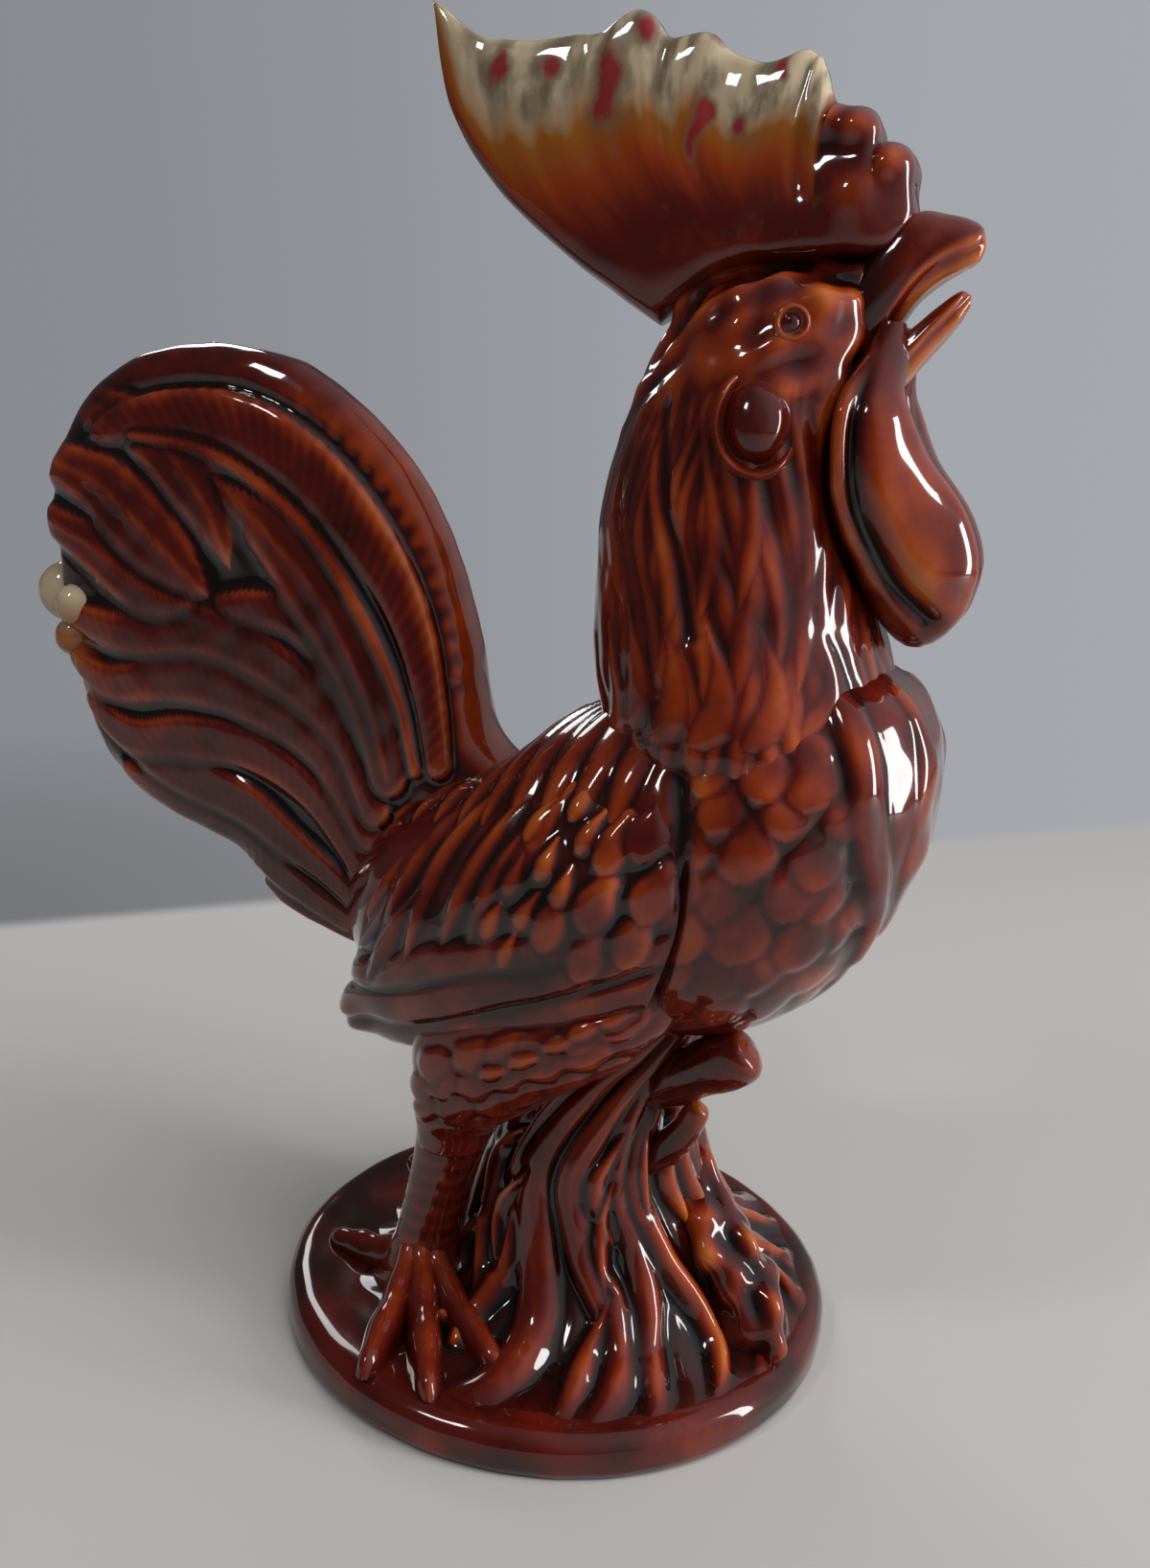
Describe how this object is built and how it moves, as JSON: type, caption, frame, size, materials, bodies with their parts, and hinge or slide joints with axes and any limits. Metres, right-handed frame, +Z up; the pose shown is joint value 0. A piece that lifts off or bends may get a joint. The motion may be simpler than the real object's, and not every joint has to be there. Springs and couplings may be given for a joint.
{
  "type": "ceramic rooster figurine",
  "caption": "Standing rooster ornament in brown glazed ceramic with a raised comb, fan tail and tree stump on a round plinth.",
  "frame": {"origin": "centre of the plinth's foot, on the surface that the figure stands on", "axes": "+X towards the beak, +Y to the rooster's left, +Z up from the foot"},
  "size_m": [0.2173, 0.124, 0.2756],
  "materials": {
    "plumage_glaze": "glossy translucent brown glaze, darker where it pools",
    "bark_glaze": "glossy brown glaze over bark relief",
    "plinth_glaze": "glossy brown glaze on the plinth",
    "leg_glaze": "glossy brown glaze over scutes",
    "comb_glaze": "cream, amber and red-brown running glaze",
    "beak_glaze": "amber brown glaze",
    "face_glaze": "glossy red-brown glaze"
  },
  "bodies": {
    "root": {"base_plinth": "plinth_glaze", "stump": "bark_glaze", "branch_stub": "bark_glaze", "twig_knot": "bark_glaze", "front_root": "bark_glaze", "right_foot": "leg_glaze", "left_foot": "leg_glaze", "right_shank": "leg_glaze", "left_shank": "leg_glaze", "right_thigh": "plumage_glaze", "left_thigh": "plumage_glaze", "body": "plumage_glaze", "right_wing": "plumage_glaze", "left_wing": "plumage_glaze", "tail_fan": "plumage_glaze", "neck": "plumage_glaze", "comb": "comb_glaze", "upper_beak": "beak_glaze", "lower_beak": "beak_glaze", "right_wattle": "face_glaze", "left_wattle": "face_glaze", "right_ear_lobe": "face_glaze", "left_ear_lobe": "face_glaze", "right_eye": "face_glaze", "left_eye": "face_glaze"}
  },
  "joints": []
}
